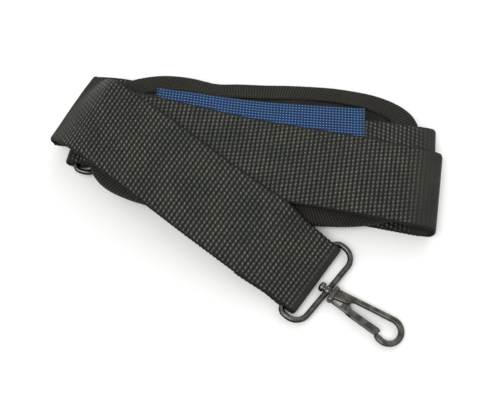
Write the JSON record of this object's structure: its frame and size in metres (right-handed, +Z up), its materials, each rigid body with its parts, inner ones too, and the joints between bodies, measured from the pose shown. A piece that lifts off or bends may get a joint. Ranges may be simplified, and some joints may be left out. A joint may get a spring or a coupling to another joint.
{
  "type": "padded webbing strap with snap hooks",
  "caption": "Folded flat webbing strap with a slide-on padded shoulder piece and a swivel snap hook on an oval ring at each end.",
  "frame": {"origin": "centre of the folded bundle's box in plan, on the surface that it rests on", "axes": "+X along the pad and the folded runs, +Y towards the pad's far long side, away from the loose end, +Z up"},
  "size_m": [0.2326, 0.1576, 0.0273],
  "materials": {
    "webbing": "flat black nylon webbing, matt",
    "cover_fabric": "dark woven cover, matt",
    "foam": "soft closed-cell foam",
    "binding": "ribbed binding tape, matt",
    "panel_fabric": "blue dotted woven fabric, matt",
    "dark_metal": "black nickel plating, semi-gloss",
    "spring_steel": "bright wire",
    "thread": "black sewing thread"
  },
  "bodies": {
    "folded_strap": {"webbing_strap": "webbing", "pad_bottom_cover": "cover_fabric", "pad_foam": "foam", "pad_top_cover": "cover_fabric", "pad_binding": "binding", "sleeve_panel": "panel_fabric", "box_stitch_1": "thread", "box_stitch_2": "thread"},
    "ring_1_body": {"ring_1": "dark_metal"},
    "hook_1_body": {"hook_body_1": "dark_metal", "swivel_rivet_1": "dark_metal", "gate_pin_1": "dark_metal", "gate_spring_1": "spring_steel"},
    "gate_1_body": {"gate_1": "dark_metal"},
    "ring_2_body": {"ring_2": "dark_metal"},
    "hook_2_body": {"hook_body_2": "dark_metal", "swivel_rivet_2": "dark_metal", "gate_pin_2": "dark_metal", "gate_spring_2": "spring_steel"},
    "gate_2_body": {"gate_2": "dark_metal"}
  },
  "joints": [
    {"name": "ring_1_swing", "type": "hinge", "parent": "folded_strap", "child": "ring_1_body", "pos_m": [0.0409, -0.04315, 0.0042], "axis": [-0.5807, -0.8141, 0], "range_deg": [-60, 100]},
    {"name": "hook_1_swivel", "type": "hinge", "parent": "ring_1_body", "child": "hook_1_body", "pos_m": [0.05194, -0.05103, 0.00325], "axis": [0.8477, -0.5297, -0.027], "continuous": true},
    {"name": "gate_1_open", "type": "hinge", "parent": "hook_1_body", "child": "gate_1_body", "pos_m": [0.06345, -0.06128, 0.00284], "axis": [0.0229, -0.0143, 0.9996], "range_deg": [0, 20], "stiffness_Nm_per_rad": 0.01, "springref_deg": -28.65, "deforming": ["gate_spring_1"]},
    {"name": "ring_2_swing", "type": "hinge", "parent": "folded_strap", "child": "ring_2_body", "pos_m": [-0.09727, 0.03548, 0.0056], "axis": [0.1168, 0.9932, 0], "range_deg": [0, 150]},
    {"name": "hook_2_swivel", "type": "hinge", "parent": "ring_2_body", "child": "hook_2_body", "pos_m": [-0.08397, 0.03392, 0.00325], "axis": [0.9928, -0.1168, -0.027], "range_deg": [-3, 3]},
    {"name": "gate_2_open", "type": "hinge", "parent": "hook_2_body", "child": "gate_2_body", "pos_m": [-0.06918, 0.02956, 0.00284], "axis": [0.0269, -0.0032, 0.9996], "range_deg": [0, 20], "stiffness_Nm_per_rad": 0.01, "springref_deg": -28.65, "deforming": ["gate_spring_2"]}
  ]
}
